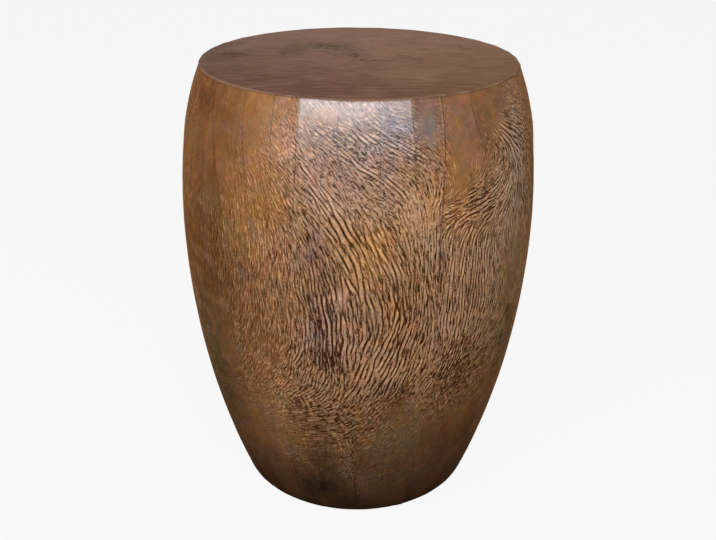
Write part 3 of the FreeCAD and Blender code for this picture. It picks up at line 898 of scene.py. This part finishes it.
# ------------------------------------------------------------------ small fasteners
def turned_solid(profile, sides):
    """Points and faces of a round solid. Its profile, of radius and height, runs from the
    axis at the top to the axis at the bottom."""
    points = [(0.0, 0.0, profile[0][1])]
    for radius, height in profile[1:-1]:
        for side in range(sides):
            a = 2 * math.pi * side / sides
            points.append((radius * math.cos(a), radius * math.sin(a), height))
    points.append((0.0, 0.0, profile[-1][1]))
    rings = len(profile) - 2
    last = len(points) - 1
    faces = []
    for i in range(sides):
        j = (i + 1) % sides
        faces.append([0, 1 + i, 1 + j])
        for ring in range(rings - 1):
            a = 1 + ring * sides
            b = a + sides
            faces.append([a + i, b + i, b + j, a + j])
        faces.append([last, last - sides + j, last - sides + i])
    return points, faces


def pin(name, place, outward, radius, height, replaces=()):
    """Domed head of a pin or nail, its axis along outward."""
    angles = [math.radians(90.0 * ring / 7) for ring in range(8)]
    profile = [(radius * math.sin(t), height * math.cos(t)) for t in angles]
    points, faces = turned_solid(profile + [(0.8 * radius, -0.3), (0.0, -0.3)], 20)
    turn_to = Vector(outward).to_track_quat("Z", "Y").to_matrix()
    placed = [tuple(turn_to @ Vector(p) + Vector(place)) for p in points]
    return make_piece(name, placed, faces, replaces)


def glide(number):
    """Moulded nylon glide with a sunk hole, and the nail's head in it."""
    side = float(apothem(CORE_BASE)) - GLIDE_INSET
    a = math.radians(45.0 + 90.0 * number)
    x, y = side * math.sin(a), -side * math.cos(a)
    radius, height, edge, sunk = GLIDE_RADIUS, GLIDE_HEIGHT, 0.9, 1.15
    rounding = [math.radians(t) for t in (0, 22.5, 45, 67.5, 90)]
    profile = [(0.0, height), (radius - 0.1, height), (radius, height - 0.1)]
    profile += [(radius - edge + edge * math.cos(t), edge - edge * math.sin(t)) for t in rounding]
    profile += [(3.6, 0.0), (3.45, 0.1), (2.55, sunk - 0.1), (2.5, sunk), (0.0, sunk)]
    points, faces = turned_solid(profile, 48)
    placed = [(px + x, py + y, pz) for px, py, pz in points]
    name = f"glide_{number + 1}"
    body = make_piece("moulded_" + name, placed, faces, [name])
    place = (x, y, sunk)
    head = pin(f"glide_nail_{number + 1}", place, (0, 0, -1), 2.2, 0.65)
    return body, head


# ------------------------------------------------------------------ materials
class Nodes:
    """Short hand for writing the node tree of a material or a world."""

    def __init__(self, owner):
        self.owner = owner
        owner.use_nodes = True
        self.tree = owner.node_tree
        self.tree.nodes.clear()

    def add(self, kind, inputs=None, **settings):
        node = self.tree.nodes.new(kind)
        for key, value in settings.items():
            setattr(node, key, value)
        for key, value in (inputs or {}).items():
            self.feed(node.inputs[key], value)
        return node

    def feed(self, socket, value):
        if isinstance(value, bpy.types.NodeSocket):
            self.tree.links.new(value, socket)
        elif isinstance(value, tuple) and len(value) == 3 and socket.type == "RGBA":
            socket.default_value = (*value, 1.0)
        else:
            socket.default_value = value

    def attribute(self, name, output="Fac"):
        return self.add("ShaderNodeAttribute", attribute_name=name).outputs[output]

    def math(self, operation, a, b=0.0, c=0.0, clamp=False):
        node = self.add("ShaderNodeMath", operation=operation, use_clamp=clamp)
        for socket, value in zip(node.inputs, (a, b, c)):
            self.feed(socket, value)
        return node.outputs[0]

    def vector(self, operation, *values, output="Vector"):
        node = self.add("ShaderNodeVectorMath", operation=operation)
        for socket, value in zip(node.inputs, values):
            self.feed(socket, value)
        return node.outputs[output]

    def scaled(self, vector, scale):
        return self.vector("MULTIPLY", vector, scale)

    def scaled_by(self, vector, factor):
        node = self.add("ShaderNodeVectorMath", {"Vector": vector, "Scale": factor}, operation="SCALE")
        return node.outputs[0]

    def fibres(self, place, grain, scale, steps):
        """Noise that is drawn out along the grain: the mean of some places along it."""
        total = None
        for step in steps:
            value = self.noise(self.vector("MULTIPLY_ADD", grain, (step,) * 3, place), scale, 2.0, 0.65)
            total = value if total is None else self.math("ADD", total, value)
        return self.math("DIVIDE", total, float(len(steps)))

    def noise(self, vector, scale=1.0, detail=2.0, roughness=0.5, distortion=0.0, output="Fac"):
        node = self.add("ShaderNodeTexNoise", {
            "Vector": vector, "Scale": scale, "Detail": detail,
            "Roughness": roughness, "Distortion": distortion,
        })
        return node.outputs[output]

    def ramp(self, value, low, high, to_low=0.0, to_high=1.0):
        node = self.add("ShaderNodeMapRange", interpolation_type="SMOOTHSTEP")
        for key, number in (("Value", value), ("From Min", low), ("From Max", high),
                            ("To Min", to_low), ("To Max", to_high)):
            self.feed(node.inputs[key], number)
        return node.outputs["Result"]

    def mix(self, share, a, b, blend="MIX"):
        node = self.add("ShaderNodeMix", data_type="RGBA", blend_type=blend)
        self.feed(node.inputs["Factor"], share)
        self.feed(node.inputs[6], a)
        self.feed(node.inputs[7], b)
        return node.outputs[2]

    def bump(self, height, distance, strength=1.0, normal=None):
        inputs = {"Height": height, "Distance": distance, "Strength": strength}
        if normal is not None:
            inputs["Normal"] = normal
        return self.add("ShaderNodeBump", inputs).outputs[0]

    def seen_directly(self):
        """1 for what the camera sees, straight, in a reflection or through glass, and else 0."""
        rays = self.add("ShaderNodeLightPath").outputs
        share = self.math("MAXIMUM", rays["Is Camera Ray"], rays["Is Glossy Ray"])
        return self.math("MAXIMUM", share, rays["Is Transmission Ray"])

    def finish(self, **inputs):
        """Ends a material in one shader, with these values on its sockets."""
        shader = self.add("ShaderNodeBsdfPrincipled")
        for key, value in inputs.items():
            self.feed(shader.inputs[key.replace("_", " ")], value)
        self.add("ShaderNodeOutputMaterial", {"Surface": shader.outputs[0]})
        return self.owner

    def finish_mixed(self, output, share, one, other):
        """Ends the tree in two shaders: the other by its share, and the one by the rest."""
        mixed = self.add("ShaderNodeMixShader")
        for socket, value in zip(mixed.inputs, (share, one.outputs[0], other.outputs[0])):
            self.feed(socket, value)
        self.add(output, {"Surface": mixed.outputs[0]})
        return self.owner


def material(name):
    return Nodes(bpy.data.materials.new(name))


def paint(piece, finish):
    piece.data.materials.clear()
    piece.data.materials.append(finish)


def embossed_metal():
    m = material("embossed_metal")
    place = m.add("ShaderNodeTexCoord").outputs["Object"]
    ridge = m.add("ShaderNodeSeparateXYZ", {"Vector": m.attribute("ridge", "Vector")}).outputs
    base = m.attribute("patina", "Vector")
    figure = m.attribute("figure")
    hollow = m.attribute("hollow")
    seam_dirt_and_shadow = m.attribute("seam_dirt_and_shadow")
    gloss = m.attribute("gloss")

    # where a point lies between two ridges, then its height with pebbles and broken crests
    squares = m.math("ADD", m.math("POWER", ridge[0], 2.0), m.math("POWER", ridge[1], 2.0))
    wave = m.math("DIVIDE", ridge[0], m.math("SQRT", m.math("MAXIMUM", squares, 0.02)))
    # wide lands, with narrow valleys between them
    valley = m.math("POWER", m.math("MULTIPLY_ADD", wave, -0.5, 0.5, clamp=True), 1.9)
    wave = m.math("MULTIPLY_ADD", valley, -2.0, 1.0)
    grain = m.attribute("grain", "Vector")
    length = m.vector("LENGTH", grain, output="Value")
    fibres = m.math("SUBTRACT", m.fibres(place, grain, 660.0, (-2.8, -1.4, 0.0, 1.4, 2.8)), 0.5)
    height = m.math("MULTIPLY", wave, ridge[2])
    gain = m.ramp(length, 0.2 * MM, MM, 12.0, 25.0)
    gain = m.math("MULTIPLY", gain, m.ramp(ridge[2], 0.7, 1.3, 1.0, 0.55))
    height = m.math("ADD", height, m.math("MULTIPLY", fibres, gain))
    deep = m.math("MULTIPLY", m.math("SUBTRACT", height, hollow), figure)

    mottle = m.ramp(m.noise(place, 75.0, 5.0, 0.7, 0.3), 0.32, 0.68, 0.88, 1.12)
    wear_and_highlight = m.scaled_by(base, mottle)
    warm = m.ramp(m.noise(m.scaled(place, (95.0, 95.0, 48.0)), 1.0, 3.0, 0.6), 0.34, 0.66)
    cool = m.ramp(m.noise(m.scaled(place, (120.0, 120.0, 55.0)), 1.0, 3.0, 0.65), 0.36, 0.64)
    tint = m.mix(cool, m.mix(warm, (1.09, 0.90, 0.94), (1.12, 1.02, 0.76)), (0.98, 1.01, 1.04))
    wear_and_highlight = m.vector("MULTIPLY", wear_and_highlight, tint)
    # the crests are rubbed paler, the more so where the patina is light, and painted glints vary their
    # paleness along them
    light = m.math("MINIMUM", m.vector("DOT_PRODUCT", wear_and_highlight, (2.8, 2.8, 2.8), output="Value"), 1.0)
    painted_glints = m.ramp(m.noise(place, 420.0, 2.0, 0.6), 0.35, 0.65, 0.55, 1.55)
    rubbed_and_glints = m.scaled_by((0.140, 0.110, 0.075), m.math("MULTIPLY", light, painted_glints))
    crests = m.vector("MULTIPLY_ADD", wear_and_highlight, (1.6, 1.6, 1.6), rubbed_and_glints)
    recess = m.ramp(deep, -0.04, -0.66, 0.0, 0.95)
    colour = m.mix(m.ramp(deep, 0.04, 0.70), wear_and_highlight, crests)
    colour = m.mix(recess, colour, m.mix(cool, (0.056, 0.0170, 0.0040), (0.036, 0.0160, 0.0085)))
    # darkened for dirt in the seams' grooves, and by painted shadow under the lip and beside each lap
    colour = m.mix(m.math("MULTIPLY", seam_dirt_and_shadow, 0.8), colour, (0.022, 0.011, 0.007))

    rough = m.math("ADD", m.math("MULTIPLY", recess, 0.22), m.ramp(gloss, 0.0, 0.6, 0.48, 0.36))
    bump = m.bump(m.math("MULTIPLY", height, m.ramp(figure, 0.0, 1.0, 0.10, 1.0)), 0.0006)
    return m.finish(
        Base_Color=colour, Metallic=0.25, Roughness=rough, Normal=bump,
        Specular_IOR_Level=0.0, Specular_Tint=(0.50, 0.33, 0.22),
        Coat_Weight=gloss, Coat_Roughness=0.27, Coat_IOR=1.8,
    )


def top_metal():
    m = material("top_metal")
    flow = m.attribute("flow", "Vector")
    rim = m.attribute("rim")
    pitted = m.attribute("pitted")
    base = m.attribute("patina", "Vector")
    streaks = m.noise(m.scaled(flow, (0.24, 0.034, 1.0)), 1.0, 5.0, 0.68, 0.5)
    fine = m.noise(m.scaled(flow, (0.9, 0.08, 1.0)), 1.0, 2.0, 0.5)
    pits = m.noise(m.scaled(flow, (0.19, 0.10, 1.0)), 1.0, 3.0, 0.65)
    colour = m.mix(m.ramp(streaks, 0.46, 0.70, 0.0, 0.55), base, (0.27, 0.165, 0.110))
    colour = m.mix(m.ramp(streaks, 0.46, 0.30, 0.0, 0.65), colour, (0.08, 0.044, 0.034))
    pit = m.math("MULTIPLY", m.ramp(pits, 0.47, 0.60), pitted)
    colour = m.mix(m.math("MULTIPLY", pit, 0.9), colour, (0.040, 0.022, 0.016))
    # painted highlight along the rim of the top
    colour = m.mix(m.math("MULTIPLY", rim, 0.6), colour, (0.30, 0.170, 0.095))
    height = m.math("ADD", m.math("MULTIPLY", streaks, 0.6), m.math("MULTIPLY", fine, 0.4))
    bump = m.bump(m.math("SUBTRACT", height, pit), 0.00018)
    return m.finish(
        Base_Color=colour, Metallic=0.15, Roughness=m.ramp(streaks, 0.3, 0.7, 0.58, 0.48),
        Normal=bump, Specular_IOR_Level=0.0, Specular_Tint=(0.5, 0.35, 0.25),
    )


def wood(name, pale, deep, ring_scale):
    m = material(name)
    place = m.add("ShaderNodeTexCoord").outputs["Object"]
    rings = m.noise(m.scaled(place, (ring_scale, ring_scale, 9.0)), 1.0, 4.0, 0.6, 0.6)
    pores = m.noise(m.scaled(place, (900.0, 900.0, 60.0)), 1.0, 2.0, 0.5)
    colour = m.mix(m.ramp(rings, 0.35, 0.65), pale, deep)
    colour = m.mix(m.ramp(pores, 0.55, 0.75, 0.0, 0.35), colour, (0.12, 0.07, 0.04))
    bump = m.bump(m.math("ADD", rings, pores), 0.0002)
    return m.finish(Base_Color=colour, Roughness=m.ramp(rings, 0.3, 0.7, 0.55, 0.72), Normal=bump)


def plywood():
    m = material("plywood")
    place = m.add("ShaderNodeTexCoord").outputs["Object"]
    wave = {"Vector": place, "Scale": 55.0, "Distortion": 0.6, "Detail": 1.0}
    layers = m.add("ShaderNodeTexWave", wave, bands_direction="Z").outputs["Fac"]
    face = m.noise(m.scaled(place, (22.0, 260.0, 22.0)), 1.0, 4.0, 0.6, 0.5)
    colour = m.mix(m.ramp(face, 0.35, 0.68), (0.50, 0.33, 0.19), (0.34, 0.20, 0.105))
    colour = m.mix(m.ramp(layers, 0.4, 0.6, 0.0, 0.25), colour, (0.22, 0.12, 0.06))
    bump = m.bump(face, 0.00025)
    return m.finish(Base_Color=colour, Roughness=m.ramp(face, 0.3, 0.7, 0.6, 0.78), Normal=bump)


def glide_plastic():
    m = material("glide_plastic")
    place = m.add("ShaderNodeTexCoord").outputs["Object"]
    grit = m.noise(place, 900.0, 3.0, 0.6)
    scuffs = m.noise(m.scaled(place, (300.0, 60.0, 300.0)), 1.0, 3.0, 0.6)
    colour = m.mix(m.ramp(scuffs, 0.5, 0.7, 0.0, 0.5), (0.035, 0.030, 0.027), (0.10, 0.09, 0.08))
    return m.finish(Base_Color=colour, Roughness=m.ramp(grit, 0.3, 0.7, 0.42, 0.6),
                    Normal=m.bump(grit, 0.0001))


def pin_metal():
    m = material("pin_metal")
    place = m.add("ShaderNodeTexCoord").outputs["Object"]
    tarnish = m.noise(place, 700.0, 3.0, 0.6)
    colour = m.mix(m.ramp(tarnish, 0.4, 0.65), (0.30, 0.16, 0.08), (0.08, 0.045, 0.03))
    return m.finish(Base_Color=colour, Metallic=0.7, Roughness=m.ramp(tarnish, 0.3, 0.7, 0.35, 0.6),
                    Normal=m.bump(tarnish, 0.00008))


# ------------------------------------------------------------------ put the table together
def lap_pin(number):
    """Panel pin at the head of a lap."""
    azimuth = FRONT_LAP - SHEET_ANGLE * number - 0.9
    radius = float(barrel_radius(np.array(azimuth), np.array(LAP_PIN_HEIGHT))) + 0.35
    outward = around(azimuth, math.cos(LAP_PIN_TILT), math.sin(LAP_PIN_TILT))
    place = around(azimuth, radius, LAP_PIN_HEIGHT)
    return pin(f"lap_pin_{number + 1}", place, outward, 1.3, 0.5)


def flange_pin(number):
    """Pin of the turned-under flange. Those near a glide stand aside of it."""
    azimuth = 7.5 + 15.0 * number
    if abs(azimuth % 90.0 - 45.0) < 5.0:
        azimuth += 5.0
    place = around(azimuth, float(apothem(CORE_BASE)) - 0.5 * FLANGE_WIDTH - 1.0, 2.95)
    return pin(f"flange_pin_{number + 1:02d}", place, (0, 0, -1), 1.7, 0.5)


sheet_metal = embossed_metal()
metal_of_top = top_metal()
stave_wood = wood("stave_wood", (0.52, 0.34, 0.19), (0.36, 0.21, 0.11), 70.0)
ply = plywood()
plastic = glide_plastic()
metal_of_pins = pin_metal()

for number, (name, strokes, heart) in enumerate(SHEETS):
    paint(side_sheet(number, name, strokes, heart), sheet_metal)
paint(top_piece(), metal_of_top)
for number in range(30):
    paint(stave(number), stave_wood)
for node in ("top_panel", "middle_former", "base_panel"):
    paint(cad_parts[node], ply)
for number in range(4):
    body, head = glide(number)
    paint(body, plastic)
    paint(head, metal_of_pins)
for number in range(3):
    paint(lap_pin(number), metal_of_pins)
for number in range(24):
    paint(flange_pin(number), metal_of_pins)


# ------------------------------------------------------------------ stage
def make_floor():
    """Pale matt ground: the camera and reflections see it near white, and it keeps the shadow."""
    half = 12.0
    mesh = bpy.data.meshes.new("floor")
    corners = [(-half, -half, 0), (half, -half, 0), (half, half, 0), (-half, half, 0)]
    mesh.from_pydata(corners, [], [(0, 1, 2, 3)])
    floor = bpy.data.objects.new("floor", mesh)
    bpy.context.scene.collection.objects.link(floor)
    m = material("pale_floor")
    share = m.math("MULTIPLY", m.seen_directly(), 0.90)
    ground = m.add("ShaderNodeBsdfDiffuse", {"Color": (0.45, 0.445, 0.44)})
    white = m.add("ShaderNodeEmission")
    paint(floor, m.finish_mixed("ShaderNodeOutputMaterial", share, ground, white))


def make_world():
    m = Nodes(bpy.data.worlds.new("studio"))
    soft = m.add("ShaderNodeBackground", {"Color": (0.93, 0.95, 1.0), "Strength": 0.42})
    white = m.add("ShaderNodeBackground", {"Color": (1.0, 1.0, 1.0)})
    bpy.context.scene.world = m.finish_mixed("ShaderNodeOutputWorld", m.seen_directly(), soft, white)


def soft_box(name, azimuth, elevation, distance, size, power, colour, aim=(0.0, 0.0, 0.3)):
    """Rectangular lamp that looks at a point of the table."""
    a, e = math.radians(azimuth), math.radians(elevation)
    toward = Vector((math.sin(a) * math.cos(e), -math.cos(a) * math.cos(e), math.sin(e)))
    data = bpy.data.lights.new(name, "AREA")
    data.shape = "RECTANGLE"
    data.size, data.size_y = size
    data.energy = power
    data.color = colour
    lamp = bpy.data.objects.new(name, data)
    bpy.context.scene.collection.objects.link(lamp)
    lamp.location = Vector(aim) + toward * distance
    lamp.rotation_euler = toward.to_track_quat("Z", "Y").to_euler()


def make_camera():
    """Camera at the height and distance of the photograph's, which looks down and leans a little."""
    data = bpy.data.cameras.new("camera")
    data.sensor_width = 36.0
    data.lens = 45.25
    data.shift_x = 0.0010
    camera = bpy.data.objects.new("camera", data)
    bpy.context.scene.collection.objects.link(camera)
    tilt = Matrix.Rotation(math.pi / 2 - math.radians(25.70), 4, "X")
    roll = Matrix.Rotation(math.radians(0.53), 4, "Z")
    camera.matrix_world = Matrix.Translation((0.0, -0.9834, 0.7245)) @ tilt @ roll
    bpy.context.scene.camera = camera


make_floor()
make_world()
soft_box("key", -5.0, 36.0, 1.7, (2.2, 0.55), 32.0, (0.90, 0.94, 1.0))
soft_box("fill", -70.0, 34.0, 2.2, (1.4, 1.4), 7.0, (1.0, 0.96, 0.90))
make_camera()
bpy.context.scene.view_settings.view_transform = "Standard"
